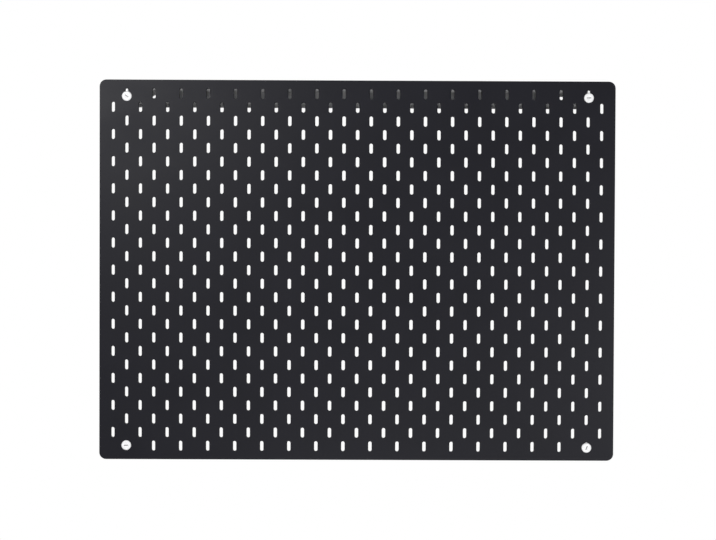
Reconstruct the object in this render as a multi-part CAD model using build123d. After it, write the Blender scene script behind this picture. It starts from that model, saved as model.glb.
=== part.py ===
from build123d import *
import math
import os

# A slotted pegboard that hangs on a wall rail. Millimetres, +X to the right as seen from
# the front, +Y into the wall, +Z up. The origin lies on the wall, midway between the two
# screw slots of the rail.

# Board
board_w = 760.0
board_h = 560.0
board_t = 5.0
board_corner_r = 10.0
board_arris = 0.6  # bevel round the outline, front and back

# Peg slots: two lattices of the same pitch, each slot midway between four of the other
slot_w = 5.0
slot_l = 15.0
slot_point = 1.3  # how far the two flats at a slot's end rise to its tip
slot_pitch = 40.0  # along a row, and between rows of one lattice
slot_margin = 20.0  # least distance from a slot's centre to the board's edge
peg_pair_x = 6  # columns from the middle to the slot pairs that take accessories
peg_pair_z = 4.5  # rows from the middle to the centre of those pairs

# Wall rail, folded from sheet: a flange on the wall, a sloping web and a standing lip
rail_t = 1.2
rail_bend_r = 1.5  # inside a fold
rail_below = 13.5  # wall flange below the screw slots' centres
rail_above = 11.0  # wall flange above them, up to the fold
rail_step = 6.0  # clear space between the wall and the lip
rail_lip_h = 5.5
rail_lip_corner_r = 3.0
rail_overhang = 13.0  # past the hangers' middles, each end
rail_shift = 3.0  # rail to the right of the board's middle
wall_slot_span = 600.0
wall_slot_l = 16.0
wall_slot_w = 9.0

# Stand-off and clearances
standoff = 15.0  # wall to the back of the board
clamp_gap = 0.15  # between the board and what is clamped to it, each face
seat_gap = 0.3  # between the hook and the lip's top edge
hook_back_gap = 0.3
hook_front_gap = 1.5  # room for the hanger to back off when its screw is loosened
screw_clearance = 0.1  # radial, screw in its hole
key_gap = 0.3  # between the key and the screw's hole
key_top_gap = 0.8  # slot's end over the hanger's key

# Clamp screws
screw_d = 3.5
screw_l = 12.0  # below the head
head_d = 14.4
head_h = 2.2
dish_d = 7.2  # sunk middle of the head
dish_depth = 0.35
drive_l = 6.2
drive_w = 1.3
drive_depth = 1.0

# Hangers and spacers
plate_t = 2.6
plate_corner_r = 4.0
barrel_d = 8.4
root_overlap = 0.5  # how far ribs and barrels start inside the plate
bore_overrun = 1.0  # bore past the open end
key_w = 3.4
key_recess = 0.9  # key's end below the board's face
hanger_w = 20.0
hanger_below = 9.0  # plate below the screw
hanger_drop = 21.4  # lip's top edge down to the screw
hook_bridge_t = 2.0
hook_leg_t = 2.6
hook_leg_l = 5.0
hook_corner_r = 1.4
hook_tip_bevel = 0.9
hook_w = 16.0
rib_t = 2.0
rib_spacing = 14.0
key_rise = 11.1  # screw to the top of the hanger's key
spacer_key_near = 5.8  # screw to the key's near end
spacer_key_far = 8.0  # and to its far end
spacer_plate_w = 18.0
spacer_plate_l = 23.0
spacer_foot_w = 13.0  # across the ribs at the wall
spacer_foot_l = 17.0

# Where each screw sits across its slot, how far round its drive slot is turned, and which
# way up each spacer is, with its key's far end down or up
upper_left_x = 0.1
upper_right_x = 0.5
lower_left_x = 0.05
lower_right_x = 0.1
lower_left_z = 0.9
lower_right_z = -0.7
upper_left_turn = -35.0
upper_right_turn = 0.0
lower_left_turn = 3.0
lower_right_turn = 67.0
lower_left_spacer_turn = 180.0
lower_right_spacer_turn = 0.0

# Sizes that follow
long_cols = math.floor((board_w - 2 * slot_margin) / slot_pitch) + 1
long_rows = math.floor((board_h - 2 * slot_margin) / slot_pitch) + 1
board_back = -standoff
board_front = board_back - board_t
lip_top = rail_above + rail_step + rail_lip_h
lip_front = standoff - rail_step - rail_t  # from the board's back to the lip
screw_z = lip_top - hanger_drop
corner_x = (long_cols - 2) * slot_pitch / 2
corner_z = (long_rows - 1) * slot_pitch / 2
upper_slot_z = screw_z + key_rise + key_top_gap - slot_l / 2
board_z = upper_slot_z - corner_z
lower_slot_z = board_z - corner_z
rail_l = 2 * (corner_x + rail_overhang)
hole_r = screw_d / 2 + screw_clearance


def slot_outline(x, z, rounded):
    """One peg slot's outline. Each end is an arc, or two flats that follow it closely."""
    half_w = slot_w / 2
    end_z = slot_l / 2
    arc_z = end_z - half_w
    if rounded:
        sides = [
            Line((-half_w, arc_z), (-half_w, -arc_z)),
            ThreePointArc((-half_w, -arc_z), (0, -end_z), (half_w, -arc_z)),
            Line((half_w, -arc_z), (half_w, arc_z)),
            ThreePointArc((half_w, arc_z), (0, end_z), (-half_w, arc_z)),
        ]
        wire = Wire(sides)
    else:
        side_z = end_z - slot_point
        top = [(half_w, side_z), (0, end_z), (-half_w, side_z)]
        wire = Wire.make_polygon(top + [(-px, -pz) for px, pz in top])
    return wire.moved(Location((x, z)))


def slot_outlines():
    """The outlines of both lattices of slots, drawn about the board's middle.

    The slots that take the fixings and the accessories have truly round ends.
    """
    long_lattice = GridLocations(slot_pitch, slot_pitch, long_cols, long_rows - 1)
    short_lattice = GridLocations(slot_pitch, slot_pitch, long_cols - 1, long_rows)
    pair_x = peg_pair_x * slot_pitch
    used = [(pair_x, (peg_pair_z + side) * slot_pitch) for side in (-0.5, 0.5)]
    used.append((corner_x, corner_z))
    outlines = []
    for place in [*long_lattice.locations, *short_lattice.locations]:
        x, z = place.position.X, place.position.Y
        rounded = any(math.isclose(abs(x), ux) and math.isclose(abs(z), uz) for ux, uz in used)
        outlines.append(slot_outline(x, z, rounded))
    return outlines


def peg_board():
    """The bevelled board: its two faces pierced, and the slots' walls sewn in between."""
    sheet = Plane((-rail_shift, board_front, board_z), (1, 0, 0), (0, -1, 0))
    outline = RectangleRounded(board_w, board_h, board_corner_r).face()
    plate = extrude(sheet.location * outline, amount=-board_t)
    rim = plate.edges().filter_by(lambda e: e.bounding_box().size.Y < board_arris)
    plate = chamfer(rim, board_arris)
    front, back = plate.faces().filter_by(Axis.Y).sort_by(SortBy.AREA)[-2:].sort_by(Axis.Y)
    slots = [wire.moved(sheet.location) for wire in slot_outlines()]
    through = Vector(0, board_t, 0)
    pierced = [
        Face(front.outer_wire(), slots),
        Face(back.outer_wire(), [wire.moved(Location(through)) for wire in slots]),
    ]
    edges = [f for f in plate.faces() if not (f.is_same(front) or f.is_same(back))]
    walls = [wall for wire in slots for wall in Shell.extrude(wire, through).faces()]
    return Solid(Shell(pierced + edges + walls))


def wall_rail():
    """The folded rail, with its two screw slots and rounded lip ends."""
    mid = rail_t / 2
    fold = [
        (-mid, -rail_below),
        (-mid, rail_above),
        (-mid - rail_step, rail_above + rail_step),
        (-mid - rail_step, lip_top),
    ]
    with BuildPart() as rail:
        with BuildSketch(Plane.YZ):
            with BuildLine():
                FilletPolyline(*fold, radius=rail_bend_r + mid)
            trace(line_width=rail_t)
        extrude(amount=rail_l / 2, both=True)
        ends = rail.edges().filter_by(Axis.Y).group_by(Axis.Z)[-1]
        fillet(ends, rail_lip_corner_r)
        with BuildSketch(Plane.XZ):
            with Locations((-wall_slot_span / 2, 0), (wall_slot_span / 2, 0)):
                SlotOverall(wall_slot_l, wall_slot_w)
        extrude(amount=rail_t, mode=Mode.SUBTRACT)
    return rail.part


def clamp_screw(turn):
    """A moulded screw on +Y, its dished and slotted head on the board's face at y = 0."""
    with BuildPart() as screw:
        with BuildSketch(Plane.XZ.offset(clamp_gap)):
            Circle(head_d / 2)
        extrude(amount=head_h)
        with BuildSketch(Plane.XZ.offset(clamp_gap)):
            Circle(screw_d / 2)
        extrude(amount=-clamp_gap - screw_l)
        with BuildSketch(Plane.XZ.offset(clamp_gap + head_h)):
            Circle(dish_d / 2)
        extrude(amount=-dish_depth, mode=Mode.SUBTRACT)
        with BuildSketch(Plane.XZ.offset(clamp_gap + head_h - dish_depth)):
            SlotOverall(drive_l, drive_w, rotation=turn)
        extrude(amount=-drive_depth, mode=Mode.SUBTRACT)
    return screw.part


def screw_hole(back):
    """The hole for the clamp screw, from the key's end to the back of the barrel."""
    return Pos(0, (back - board_t) / 2, 0) * Cylinder(
        hole_r, back + board_t, rotation=(90, 0, 0)
    )


def slot_key(low, high):
    """The tongue that keys a hanger or spacer in its peg slot, clear of the screw."""
    with BuildPart() as key:
        with BuildSketch(Plane.XZ.offset(-clamp_gap)):
            with Locations((0, (low + high) / 2)):
                SlotOverall(high - low, key_w, rotation=90)
            Circle(hole_r + key_gap, mode=Mode.SUBTRACT)
        extrude(amount=clamp_gap + board_t - key_recess)
    return key.part


def hanger():
    """The moulded hook behind an upper corner, its screw on +Y and the board at y < 0."""
    bearing = lip_front - hook_front_gap
    leg_front = lip_front + rail_t + hook_back_gap
    leg_back = leg_front + hook_leg_t
    throat = hanger_drop + seat_gap
    top = throat + hook_bridge_t
    leg_end = throat - hook_leg_l
    back = clamp_gap + plate_t
    key = slot_key(-hole_r, key_rise)
    bore = screw_hole(bearing + bore_overrun)
    with BuildPart() as body:
        with BuildSketch(Plane.XZ.offset(-clamp_gap)):
            with Locations((0, (top - hanger_below) / 2)):
                plate = Rectangle(hanger_w, top + hanger_below)
            fillet(plate.vertices(), plate_corner_r)
        extrude(amount=-plate_t)
        with BuildSketch(Plane.YZ):
            with BuildLine():
                Polyline(
                    (clamp_gap, top),
                    (leg_back, top),
                    (leg_back, leg_end + hook_tip_bevel),
                    (leg_back - hook_tip_bevel, leg_end),
                    (leg_front + hook_tip_bevel, leg_end),
                    (leg_front, leg_end + hook_tip_bevel),
                    (leg_front, throat),
                    (clamp_gap, throat),
                    close=True,
                )
            hook = make_face()
            fillet(hook.vertices().sort_by_distance((leg_back, top))[0], hook_corner_r)
        extrude(amount=hook_w / 2, both=True)
        with BuildSketch(Plane.YZ):
            with BuildLine():
                Polyline(
                    (back - root_overlap, -hanger_below + plate_corner_r),
                    (back, -hanger_below + plate_corner_r),
                    (bearing, -barrel_d / 2),
                    (bearing, throat),
                    (back - root_overlap, throat),
                    close=True,
                )
            make_face()
        ribs = extrude(amount=rib_t / 2, both=True, mode=Mode.PRIVATE)
        with Locations((-rib_spacing / 2, 0, 0), (rib_spacing / 2, 0, 0)):
            add(ribs)
        with BuildSketch(Plane.XZ.offset(-back + root_overlap)):
            Circle(barrel_d / 2)
        extrude(amount=-(bearing - back + root_overlap))
        add(key)
        add(bore, mode=Mode.SUBTRACT)
    return body.part


def spacer():
    """The ribbed foot behind a lower corner, from the board's back to the wall."""
    key = slot_key(-spacer_key_near, spacer_key_far)
    bore = screw_hole(standoff + bore_overrun)
    back = clamp_gap + plate_t
    with BuildPart() as body:
        with BuildSketch(Plane.XZ.offset(-clamp_gap)):
            RectangleRounded(spacer_plate_w, spacer_plate_l, plate_corner_r)
        extrude(amount=-plate_t)
        for plane, plate, foot in (
            (Plane.XY, spacer_plate_w, spacer_foot_w),
            (Plane.ZY, spacer_plate_l, spacer_foot_l),
        ):
            with BuildSketch(plane):
                Polygon(
                    (root_overlap - plate / 2, back - root_overlap),
                    (plate / 2 - root_overlap, back - root_overlap),
                    (foot / 2, standoff),
                    (-foot / 2, standoff),
                    align=None,
                )
            extrude(amount=rib_t / 2, both=True)
        with BuildSketch(Plane.XZ.offset(-back + root_overlap)):
            Circle(barrel_d / 2)
        extrude(amount=-(standoff - back + root_overlap))
        add(key)
        add(bore, mode=Mode.SUBTRACT)
    return body.part


def main():
    left = -rail_shift - corner_x
    right = -rail_shift + corner_x
    left_foot = Rot(0, lower_left_spacer_turn, 0) * spacer()
    right_foot = Rot(0, lower_right_spacer_turn, 0) * spacer()
    lower_left = (left + lower_left_x, lower_slot_z + lower_left_z)
    lower_right = (right + lower_right_x, lower_slot_z + lower_right_z)
    fixings = {
        "upper_left": ((left + upper_left_x, screw_z), upper_left_turn, "hanger", hanger()),
        "upper_right": ((right + upper_right_x, screw_z), upper_right_turn, "hanger", hanger()),
        "lower_left": (lower_left, lower_left_turn, "spacer", left_foot),
        "lower_right": (lower_right, lower_right_turn, "spacer", right_foot),
    }
    nodes = {"pegboard_panel": peg_board(), "suspension_rail": wall_rail()}
    for place, ((x, z), turn, kind, fixing) in fixings.items():
        nodes[f"{place}_screw"] = Pos(x, board_front, z) * clamp_screw(turn)
        nodes[f"{place}_{kind}"] = Pos(x, board_back, z) * fixing
    os.makedirs("parts", exist_ok=True)
    for name, shape in nodes.items():
        export_step(shape, f"parts/{name}.step", write_pcurves=False)


main()
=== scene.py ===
import bmesh
import bpy
import math
from mathutils import Matrix, Vector

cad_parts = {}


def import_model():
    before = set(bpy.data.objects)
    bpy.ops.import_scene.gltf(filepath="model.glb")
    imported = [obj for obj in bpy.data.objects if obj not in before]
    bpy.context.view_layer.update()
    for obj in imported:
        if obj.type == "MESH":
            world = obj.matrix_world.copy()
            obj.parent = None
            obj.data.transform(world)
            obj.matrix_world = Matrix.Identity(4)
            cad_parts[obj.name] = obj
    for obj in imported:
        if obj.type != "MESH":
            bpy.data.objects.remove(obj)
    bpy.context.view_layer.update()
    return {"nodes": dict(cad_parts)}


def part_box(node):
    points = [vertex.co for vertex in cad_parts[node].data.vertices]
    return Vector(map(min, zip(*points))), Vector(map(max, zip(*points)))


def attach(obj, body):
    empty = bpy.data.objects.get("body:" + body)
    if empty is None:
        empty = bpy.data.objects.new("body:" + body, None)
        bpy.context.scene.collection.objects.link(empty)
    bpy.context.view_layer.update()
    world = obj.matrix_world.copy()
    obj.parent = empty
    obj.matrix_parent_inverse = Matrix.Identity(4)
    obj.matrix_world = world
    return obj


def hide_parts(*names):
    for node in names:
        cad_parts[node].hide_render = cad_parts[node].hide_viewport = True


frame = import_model()

# Metres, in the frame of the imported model: +X to the right as seen from the front, +Y into
# the wall, +Z up. The origin lies on the wall, midway between the rail's two screw slots.

quarter_turn = math.radians(90)
half_turn = math.radians(180)
full_turn = math.radians(360)

# Board
board_corner_r = 0.010
board_edge_r = 0.0006
edge_steps = 3
corner_steps = 6
slot_w = 0.005
slot_l = 0.015
slot_pitch = 0.040
slot_edge = 0.0003  # rounding where the slots break through the faces
slot_steps = 4  # in a quarter of a slot's round end
board_smooth = 50  # degrees, the steepest edge that is shaded smooth

# Clamp screws
clamp_gap = 0.00015  # between the board and each head
screw_steps = 48  # round the axis
ring_start = math.radians(45)  # how far each ring's first point is turned back
head_steps = 6  # in the head's rounded side
head_top_r = 0.0052  # where the rounded side meets the flat ring
head_edge = 0.0003
dish_r = 0.0036
dish_slope = 0.0003
dish_depth = 0.00035
dish_rim = head_edge / 4  # drop of the rounding between the flat ring and the dish
drive_l = 0.0062
drive_w = 0.0013
drive_depth = 0.0010
shank_r = 0.00175
thread_root_r = 0.00142
thread_pitch = 0.0015
thread_rows = 4  # in one pitch: root, flank, crest, flank
thread_runout = 0.0012
tip_r = 0.0011
screw_smooth = 45
screw_merge = 1e-7  # points nearer than this are one
drive_turns = {
    "upper_left_screw": -35,
    "upper_right_screw": 0,
    "lower_left_screw": 3,
    "lower_right_screw": 67,
}

# Rounded edges of the moulded and folded pieces
moulded_edge = 0.00035
folded_edge = 0.00015
rounding_steps = 2
rounding_smooth = 40  # edges flatter than this are shaded smooth, steeper ones are rounded
flat_limit = 1  # faces within this angle of each other become one
copy_merge = 1e-6

# Finishes
wall_extra_roughness = 0.2  # inside the slots, over the board's faces
spangle_share = 0.35
rolled_share = 0.65

# Camera, aimed just beside the board's middle
camera_distance = 2.0
camera_azimuth = math.radians(-0.166)
camera_elevation = math.radians(0.900)
camera_roll = math.radians(0.233)
camera_aim_right = 0.00133
camera_aim_up = 0.00093
camera_lens = 68.16

# Stage
white = (1.0, 1.0, 1.0, 1.0)
world_level = 0.26
floor_drop = 0.60  # below the board's lower edge
floor_r = 1.6
floor_steps = 96
floor_fade = 0.6  # radius where the floor starts to fade out
floor_level = 0.85
floor_glow = 0.25
lamps = {  # place, width and power
    "key": ((-0.85, -1.95, 0.45), 0.5, 23.5),
    "fill": ((1.25, -1.8, -0.7), 0.9, 15.5),
    "low": ((0.0, -1.75, -1.3), 0.4, 10.5),
    "rear": ((0.7, 1.8, 0.7), 0.9, 11.0),
}


def camera():
    """The camera in front of the board, nearly square to it and turned a little clockwise."""
    low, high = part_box("pegboard_panel")
    aim_x = (low.x + high.x) / 2 + camera_aim_right
    aim_z = (low.z + high.z) / 2 + camera_aim_up
    aim = Vector((aim_x, low.y, aim_z))
    level = math.cos(camera_elevation)
    back = Vector((
        math.sin(camera_azimuth) * level,
        -math.cos(camera_azimuth) * level,
        math.sin(camera_elevation),
    ))
    data = bpy.data.cameras.new("camera")
    data.lens = camera_lens
    eye = bpy.data.objects.new("camera", data)
    turn = (-back).to_track_quat("-Z", "Y").to_matrix().to_4x4()
    place = Matrix.Translation(aim + camera_distance * back)
    eye.matrix_world = place @ turn @ Matrix.Rotation(camera_roll, 4, "Z")
    bpy.context.scene.collection.objects.link(eye)
    bpy.context.scene.camera = eye


def add_object(name, bm):
    """A new object from a bmesh, with its normals outward."""
    bmesh.ops.recalc_face_normals(bm, faces=bm.faces)
    data = bpy.data.meshes.new(name)
    bm.to_mesh(data)
    bm.free()
    obj = bpy.data.objects.new(name, data)
    bpy.context.scene.collection.objects.link(obj)
    return obj


def smooth(obj, angle):
    """Smooth shading across edges flatter than angle, in degrees."""
    for face in obj.data.polygons:
        face.use_smooth = True
    obj.data.set_sharp_from_angle(angle=math.radians(angle))


def weigh_normals(obj):
    """Keeps large flat faces flat beside their rounded edges."""
    weigh = obj.modifiers.new("weighted_normals", "WEIGHTED_NORMAL")
    weigh.keep_sharp = True


def slot_rim(x, z, grow):
    """Points round a slot, grown by grow, clockwise from its top."""
    radius = slot_w / 2 + grow
    rise = (slot_l - slot_w) / 2
    quarter = [quarter_turn * step / slot_steps for step in range(slot_steps + 1)]
    right = [(radius * math.sin(a), rise + radius * math.cos(a)) for a in quarter]
    right += [(px, -pz) for px, pz in reversed(right)]
    left = [(-px, -pz) for px, pz in right[1:-1]]
    return [(x + px, z + pz) for px, pz in right + left]


def corner_signs(quarter):
    """Which way the board's corner lies, counted anticlockwise from the upper right."""
    return 1 if quarter in (0, 3) else -1, 1 if quarter < 2 else -1


def board_outline(half_w, half_h, inset):
    """Points round the board, moved in by inset, each corner followed by the side after it."""
    step = slot_pitch / 2
    corner_x = half_w - board_corner_r
    corner_z = half_h - board_corner_r
    cols = round(half_w / step) - 1
    rows = round(half_h / step) - 1
    radius = board_corner_r - inset
    top = [(-i * step, half_h - inset) for i in range(-cols, cols + 1)]
    left = [(inset - half_w, -(k + 0.5) * step) for k in range(-rows, rows)]
    sides = [top, left, [(-x, -z) for x, z in top], [(-x, -z) for x, z in left]]
    points = []
    for quarter, side in enumerate(sides):
        sign_x, sign_z = corner_signs(quarter)
        for part in range(corner_steps + 1):
            angle = quarter_turn * (quarter + part / corner_steps)
            points.append((
                sign_x * corner_x + radius * math.cos(angle),
                sign_z * corner_z + radius * math.sin(angle),
            ))
        points += side
    return points


def peg_panel():
    """The board with every slot cut through: one brick of two faces round each slot."""
    low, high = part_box("pegboard_panel")
    middle = (low + high) / 2
    half_w, half_h = (high.x - low.x) / 2, (high.z - low.z) / 2
    step = slot_pitch / 2
    cols = round(half_w / step)
    rows = round(2 * half_h / step) - 1
    bm = bmesh.new()
    made = {}

    def vertex(x, y, z):
        key = (round(x, 6), round(y, 6), round(z, 6))
        if key not in made:
            made[key] = bm.verts.new((middle.x + x, y, middle.z + z))
        return made[key]

    def face(y, points):
        bm.faces.new([vertex(x, y, z) for x, z in points])

    def rectangle(y, x_a, z_a, x_b, z_b):
        face(y, [(x_a, z_a), (x_b, z_a), (x_b, z_b), (x_a, z_b)])

    def band(rings):
        for (ring_a, y_a), (ring_b, y_b) in zip(rings, rings[1:]):
            for i, (a, b) in enumerate(zip(ring_a, ring_b)):
                c, d = ring_b[i - 1], ring_a[i - 1]
                corners = ((a, y_a), (b, y_b), (c, y_b), (d, y_a))
                bm.faces.new([vertex(p[0], y, p[1]) for p, y in corners])

    slots = []
    for row in range(rows):
        z = (rows - 1) / 2 * step - row * step
        first = -cols + 2 - row % 2
        slots += [(i * step, z) for i in range(first, cols, 2)]

    edge_x, edge_z = half_w - board_edge_r, half_h - board_edge_r
    line_z = rows / 2 * step
    for y in (low.y, high.y):
        for x, z in slots:
            rim = slot_rim(x, z, slot_edge)
            half = len(rim) // 2
            low_z, high_z = z - step / 2, z + step / 2
            for side, part in ((1, rim[:half + 1]), (-1, [rim[0]] + rim[:half - 1:-1])):
                outer_x = max(-edge_x, min(edge_x, x + side * step))
                corners = [(x, low_z), (outer_x, low_z), (outer_x, high_z), (x, high_z)]
                face(y, corners + part)
        for side in (-1, 1):
            for row in range(0, rows, 2):
                z = line_z - row * step
                rectangle(y, side * (cols - 1) * step, z, side * edge_x, z - step)
            for i in range(1 - cols, cols - 1):
                rectangle(y, i * step, side * line_z, i * step + step, side * edge_z)
        outline = board_outline(half_w, half_h, board_edge_r)
        side_points = (2 * cols - 1, rows - 1)
        start = 0
        for quarter in range(4):
            sign_x, sign_z = corner_signs(quarter)
            arc = outline[start:start + corner_steps + 1]
            inner = (sign_x * (cols - 1) * step, sign_z * line_z)
            beside = (inner[0], sign_z * edge_z)
            face(y, [inner] + (arc + [beside] if quarter % 2 == 0 else [beside] + arc))
            start += corner_steps + 1 + side_points[quarter % 2]

    turns = [quarter_turn * part / edge_steps for part in range(edge_steps + 1)]
    front = [(board_edge_r * (1 - math.sin(a)), low.y + board_edge_r * (1 - math.cos(a))) for a in turns]
    back = [(inset, low.y + high.y - y) for inset, y in reversed(front)]
    band([(board_outline(half_w, half_h, inset), y) for inset, y in front + back])
    for x, z in slots:
        wide, narrow = slot_rim(x, z, slot_edge), slot_rim(x, z, 0)
        band([(wide, low.y), (narrow, low.y + slot_edge), (narrow, high.y - slot_edge), (wide, high.y)])
    panel = add_object("slotted_board", bm)
    smooth(panel, board_smooth)
    weigh_normals(panel)
    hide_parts("pegboard_panel")
    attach(panel, "board")
    return panel


def drive_ring(turn):
    """Points round the drive slot, as many as round the head, turned by turn degrees."""
    quarter = screw_steps // 4
    end = (drive_l - drive_w) / 2
    radius = drive_w / 2
    points = []
    for side in (1, -1):
        for part in range(quarter):
            angle = half_turn * (part + 0.5) / quarter - quarter_turn
            points.append(Vector((side * (end + radius * math.cos(angle)), side * radius * math.sin(angle))))
        for part in range(quarter):
            share = (part + 0.5) / quarter
            points.append(Vector((side * end * (1 - 2 * share), side * radius)))
    turned = Matrix.Rotation(math.radians(turn), 2)
    return [turned @ p for p in points]


def clamp_screw(node):
    """A moulded screw: rounded and dished head with a drive slot, and a threaded shank."""
    low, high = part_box(node)
    axis_x, axis_z = (low.x + high.x) / 2, (low.z + high.z) / 2
    head_r = (high.x - low.x) / 2
    face_y, tip_y = low.y, high.y
    seat_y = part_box("pegboard_panel")[0].y - clamp_gap
    turn = math.radians(drive_turns[node])
    bm = bmesh.new()

    def point(radius, y, share):
        """A point at a share of the way round the axis."""
        angle = turn + full_turn * share - ring_start
        return bm.verts.new((axis_x + radius * math.cos(angle), y, axis_z + radius * math.sin(angle)))

    def circle(radius, y):
        return [point(radius, y, (i + 0.5) / screw_steps) for i in range(screw_steps)]

    def skin(ring_a, ring_b):
        for i in range(screw_steps):
            bm.faces.new((ring_a[i - 1], ring_a[i], ring_b[i], ring_b[i - 1]))

    rings = []
    drive = drive_ring(drive_turns[node])
    for y in (face_y + dish_depth + drive_depth, face_y + dish_depth):
        rings.append([bm.verts.new((axis_x + p.x, y, axis_z + p.y)) for p in drive])
    bm.faces.new(rings[0])
    rings.append(circle(dish_r - dish_slope, face_y + dish_depth))
    rings.append(circle(dish_r, face_y + dish_rim))
    rings.append(circle(dish_r + head_edge, face_y))
    rings.append(circle(head_top_r, face_y))
    drop = seat_y - head_edge - face_y
    for part in range(1, head_steps + 1):
        angle = quarter_turn * part / head_steps
        rings.append(circle(
            head_top_r + (head_r - head_top_r) * math.sin(angle),
            face_y + drop * (1 - math.cos(angle)),
        ))
    rings.append(circle(head_r - head_edge, seat_y))
    rings.append(circle(shank_r + head_edge, seat_y))
    rings.append(circle(shank_r, seat_y + head_edge))
    for a, b in zip(rings, rings[1:]):
        skin(a, b)

    start_y = seat_y + 2 * head_edge
    end_y = tip_y - (shank_r - tip_r)
    skin(rings[-1], circle(thread_root_r, start_y))
    skin(circle(thread_root_r, end_y), circle(tip_r, tip_y))
    bm.faces.new(circle(tip_r, tip_y))

    thread = []
    for row in range(math.ceil((end_y - start_y) / thread_pitch + 1) * thread_rows + 1):
        ring = []
        for i in range(screw_steps):
            share = (i + 0.5) / screw_steps
            y = start_y + (row / thread_rows - 1 + share) * thread_pitch
            y = max(start_y, min(end_y, y))
            runout = max(0, min(1, (y - start_y) / thread_runout, (end_y - y) / thread_runout))
            crest = 1 - abs(row % thread_rows - thread_rows / 2) / (thread_rows / 2)
            radius = thread_root_r + (shank_r - thread_root_r) * runout * crest
            ring.append(point(radius, y, share))
        thread.append(ring)
    for row, (a, b) in enumerate(zip(thread, thread[1:])):
        for i in range(1, screw_steps):
            bm.faces.new((a[i - 1], a[i], b[i], b[i - 1]))
        if row + thread_rows + 1 < len(thread):
            bm.faces.new((a[-1], thread[row + thread_rows][0], thread[row + thread_rows + 1][0], b[-1]))
    bmesh.ops.remove_doubles(bm, verts=bm.verts, dist=screw_merge)
    # Marks the drive slot's bottom and walls, where the plastic's colour is darkened as painted shade
    recess_shade = bm.verts.layers.float.new("recess_shade")
    for vert in bm.verts:
        reach = math.hypot(vert.co.x - axis_x, vert.co.z - axis_z)
        deep = vert.co.y > face_y + dish_depth + drive_depth / 2
        vert[recess_shade] = float(deep and vert.co.y < seat_y - head_edge and reach < drive_l / 2 + head_edge)
    obj = add_object(node.replace("screw", "threaded_screw"), bm)
    smooth(obj, screw_smooth)
    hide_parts(node)
    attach(obj, node)
    return obj


def rounded_copy(node, name, body, edge):
    """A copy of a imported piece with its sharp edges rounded."""
    bm = bmesh.new()
    bm.from_mesh(frame["nodes"][node].data)
    bmesh.ops.remove_doubles(bm, verts=bm.verts, dist=copy_merge)
    bmesh.ops.dissolve_limit(bm, angle_limit=math.radians(flat_limit), verts=bm.verts, edges=bm.edges)
    obj = add_object(name, bm)
    smooth(obj, rounding_smooth)
    bevel = obj.modifiers.new("rounded_edges", "BEVEL")
    bevel.width = edge
    bevel.segments = rounding_steps
    bevel.limit_method = "ANGLE"
    bevel.angle_limit = math.radians(rounding_smooth)
    weigh_normals(obj)
    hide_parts(node)
    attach(obj, body)
    return obj


class Shader:
    """A material under way: its nodes, its principled shader and short ways to add to them."""

    def __init__(self, name):
        self.material = bpy.data.materials.new(name)
        self.material.use_nodes = True
        self.tree = self.material.node_tree
        self.bsdf = self.tree.nodes["Principled BSDF"]
        self.place = self.node("ShaderNodeTexCoord").outputs["Object"]

    def node(self, kind, **inputs):
        made = self.tree.nodes.new(kind)
        for name, value in inputs.items():
            self.set(made.inputs[name.replace("_", " ")], value)
        return made

    def set(self, socket, value):
        if isinstance(value, bpy.types.NodeSocket):
            self.tree.links.new(value, socket)
        else:
            socket.default_value = value

    def stretched(self, scale):
        """The object's coordinates, scaled by a triple."""
        return self.node("ShaderNodeMapping", Vector=self.place, Scale=scale).outputs["Vector"]

    def noise(self, scale, detail, place=None):
        made = self.node("ShaderNodeTexNoise", Vector=place or self.place, Scale=scale, Detail=detail)
        return made.outputs["Fac"]

    def spread(self, value, low, high, start=0.3, end=0.7):
        """value mapped from start..end to low..high."""
        made = self.node("ShaderNodeMapRange", Value=value)
        for name, number in (("From Min", start), ("From Max", end), ("To Min", low), ("To Max", high)):
            self.set(made.inputs[name], number)
        return made.outputs["Result"]

    def math(self, operation, a, b=0.0):
        made = self.tree.nodes.new("ShaderNodeMath")
        made.operation = operation
        self.set(made.inputs[0], a)
        self.set(made.inputs[1], b)
        return made.outputs["Value"]

    def mix(self, factor, a, b):
        """Colour a where factor is 0 and b where it is 1."""
        made = self.tree.nodes.new("ShaderNodeMix")
        made.data_type = "RGBA"
        # By number, as the node has sockets of the same name for each type of value
        for index, value in ((0, factor), (6, a), (7, b)):
            self.set(made.inputs[index], value)
        return made.outputs[2]

    def bump(self, height, strength, distance, under=None):
        made = self.node("ShaderNodeBump", Height=height, Strength=strength, Distance=distance)
        if under is not None:
            self.set(made.inputs["Normal"], under)
        return made.outputs["Normal"]

    def finish(self, **inputs):
        for name, value in inputs.items():
            self.set(self.bsdf.inputs[name.replace("_", " ")], value)
        return self.material


def grey(level, blue=0.0):
    """A near-neutral colour, with a little more blue."""
    return (level, level, level + blue, 1.0)


def satin_board():
    """Black satin lacquer on fibreboard, rougher inside the slots."""
    s = Shader("satin_black_lacquer")
    normal = s.node("ShaderNodeNewGeometry").outputs["Normal"]
    across = s.node("ShaderNodeSeparateXYZ", Vector=normal).outputs["Y"]
    wall = s.spread(s.math("ABSOLUTE", across), 1.0, 0.0)
    cloud = s.noise(scale=14.0, detail=4.0)
    peel = s.noise(scale=900.0, detail=2.0)
    fibre = s.noise(scale=1.0, detail=5.0, place=s.stretched((2400.0, 500.0, 2400.0)))
    face = s.mix(s.spread(cloud, 0.0, 1.0), grey(0.0028, 0.0030), grey(0.0038, 0.0034))
    rim = s.mix(s.spread(fibre, 0.0, 1.0), grey(0.010, 0.001), grey(0.024, 0.001))
    rough = s.math("ADD", s.spread(cloud, 0.40, 0.46), s.math("MULTIPLY", wall, wall_extra_roughness))
    fine = s.bump(peel, strength=0.25, distance=0.00004)
    return s.finish(
        Base_Color=s.mix(wall, face, rim),
        Roughness=rough,
        Specular_IOR_Level=0.14,
        Normal=s.bump(s.math("MULTIPLY", fibre, wall), strength=0.5, distance=0.00008, under=fine),
    )


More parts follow.
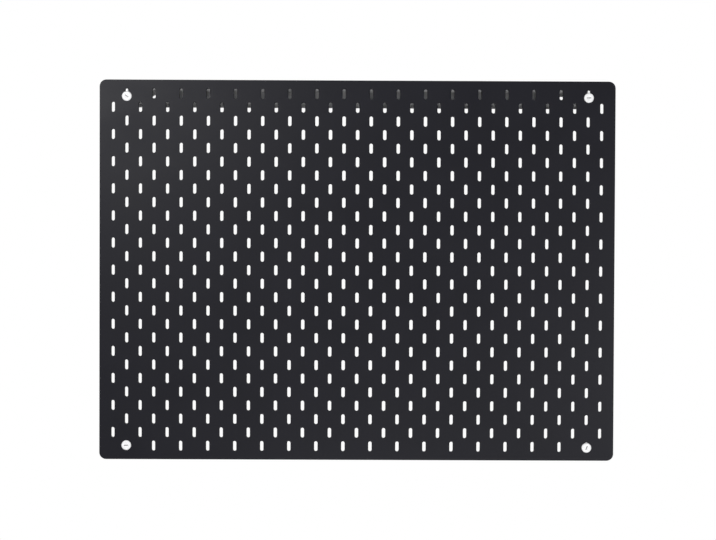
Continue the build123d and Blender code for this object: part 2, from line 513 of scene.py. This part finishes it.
def zinc_steel():
    """Dulled zinc on sheet steel, with faint spangles, rolled along its length."""
    s = Shader("zinc_plated_steel")
    spangle = s.node("ShaderNodeTexVoronoi", Vector=s.place, Scale=240.0).outputs["Color"]
    patch = s.node("ShaderNodeSeparateXYZ", Vector=spangle).outputs["X"]
    rolled = s.noise(scale=1.0, detail=3.0, place=s.stretched((25.0, 3000.0, 3000.0)))
    tone = s.math(
        "ADD",
        s.math("MULTIPLY", patch, spangle_share),
        s.math("MULTIPLY", rolled, rolled_share),
    )
    return s.finish(
        Base_Color=s.mix(s.spread(tone, 0.0, 1.0), grey(0.80, 0.01), grey(0.92, 0.01)),
        Metallic=0.2,
        Roughness=s.spread(tone, 0.50, 0.40),
        Normal=s.bump(rolled, strength=0.12, distance=0.00003),
    )


def white_plastic():
    """White moulded plastic, spark-eroded, with painted shade down in the drive slots."""
    s = Shader("white_moulded_plastic")
    cloud = s.noise(scale=220.0, detail=3.0)
    grain = s.noise(scale=5200.0, detail=2.0)
    recess_shade = s.tree.nodes.new("ShaderNodeAttribute")
    recess_shade.attribute_name = "recess_shade"
    plain = s.mix(s.spread(cloud, 0.0, 1.0), grey(0.80, 0.01), grey(0.86, 0.01))
    return s.finish(
        # Painted shade: the marked drive slots take a dark grey in place of the white
        Base_Color=s.mix(recess_shade.outputs["Fac"], plain, grey(0.16)),
        Roughness=s.spread(cloud, 0.36, 0.46),
        Normal=s.bump(grain, strength=0.2, distance=0.00002),
    )


def paint(obj, material):
    obj.data.materials.clear()
    obj.data.materials.append(material)


def ray_is(tree, *kinds):
    """1 for the kinds of ray named, and 0 for the rest."""
    path = tree.nodes.new("ShaderNodeLightPath")
    value = path.outputs[kinds[0]]
    for kind in kinds[1:]:
        most = tree.nodes.new("ShaderNodeMath")
        most.operation = "MAXIMUM"
        tree.links.new(value, most.inputs[0])
        tree.links.new(path.outputs[kind], most.inputs[1])
        value = most.outputs[0]
    return value


def world():
    """White to look at, and a soft even light on the object."""
    made = bpy.data.worlds.new("studio")
    made.use_nodes = True
    tree = made.node_tree
    lit = tree.nodes["Background"]
    lit.inputs["Color"].default_value = white
    lit.inputs["Strength"].default_value = world_level
    seen = tree.nodes.new("ShaderNodeBackground")
    seen.inputs["Color"].default_value = white
    mix = tree.nodes.new("ShaderNodeMixShader")
    tree.links.new(ray_is(tree, "Is Camera Ray", "Is Glossy Ray"), mix.inputs["Fac"])
    tree.links.new(lit.outputs["Background"], mix.inputs[1])
    tree.links.new(seen.outputs["Background"], mix.inputs[2])
    tree.links.new(mix.outputs["Shader"], tree.nodes["World Output"].inputs["Surface"])
    bpy.context.scene.world = made


def pale_floor():
    """A pale round floor below the board, fading out into the white around it."""
    low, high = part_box("pegboard_panel")
    bm = bmesh.new()
    bmesh.ops.create_circle(bm, cap_ends=True, segments=floor_steps, radius=floor_r)
    floor = add_object("pale_floor", bm)
    floor.location = ((low.x + high.x) / 2, 0.0, low.z - floor_drop)
    s = Shader("pale_floor")
    away = s.node("ShaderNodeVectorMath", Vector=s.place)
    away.operation = "LENGTH"
    fade = s.spread(away.outputs["Value"], 0.0, 1.0, floor_fade, floor_r)
    s.finish(Base_Color=grey(floor_level), Roughness=0.9)
    glow = s.node("ShaderNodeEmission")
    s.set(glow.inputs["Strength"], s.math("MULTIPLY", ray_is(s.tree, "Is Camera Ray"), floor_glow))
    lit = s.tree.nodes.new("ShaderNodeAddShader")
    s.set(lit.inputs[0], s.bsdf.outputs["BSDF"])
    s.set(lit.inputs[1], glow.outputs["Emission"])
    clear = s.tree.nodes.new("ShaderNodeBsdfTransparent")
    mix = s.tree.nodes.new("ShaderNodeMixShader")
    s.set(mix.inputs["Fac"], fade)
    s.set(mix.inputs[1], lit.outputs["Shader"])
    s.set(mix.inputs[2], clear.outputs["BSDF"])
    s.set(s.tree.nodes["Material Output"].inputs["Surface"], mix.outputs["Shader"])
    paint(floor, s.material)


def soft_light(name, place, size, power):
    """A square lamp at place, hidden from the camera and aimed at the board's middle."""
    low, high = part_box("pegboard_panel")
    data = bpy.data.lights.new(name, "AREA")
    data.size = size
    data.energy = power
    lamp = bpy.data.objects.new(name, data)
    lamp.location = place
    lamp.visible_camera = False
    lamp.rotation_euler = ((low + high) / 2 - Vector(place)).to_track_quat("-Z", "Y").to_euler()
    bpy.context.scene.collection.objects.link(lamp)


camera()
world()
pale_floor()
for lamp_name, lamp in lamps.items():
    soft_light(lamp_name, *lamp)
bpy.context.scene.view_settings.view_transform = "Standard"

board_finish, rail_finish, fixing_finish = satin_board(), zinc_steel(), white_plastic()
paint(peg_panel(), board_finish)
paint(rounded_copy("suspension_rail", "folded_rail", "rail", folded_edge), rail_finish)
for node in drive_turns:
    paint(clamp_screw(node), fixing_finish)
for node in frame["nodes"]:
    if node.endswith(("hanger", "spacer")):
        paint(rounded_copy(node, "moulded_" + node, node, moulded_edge), fixing_finish)
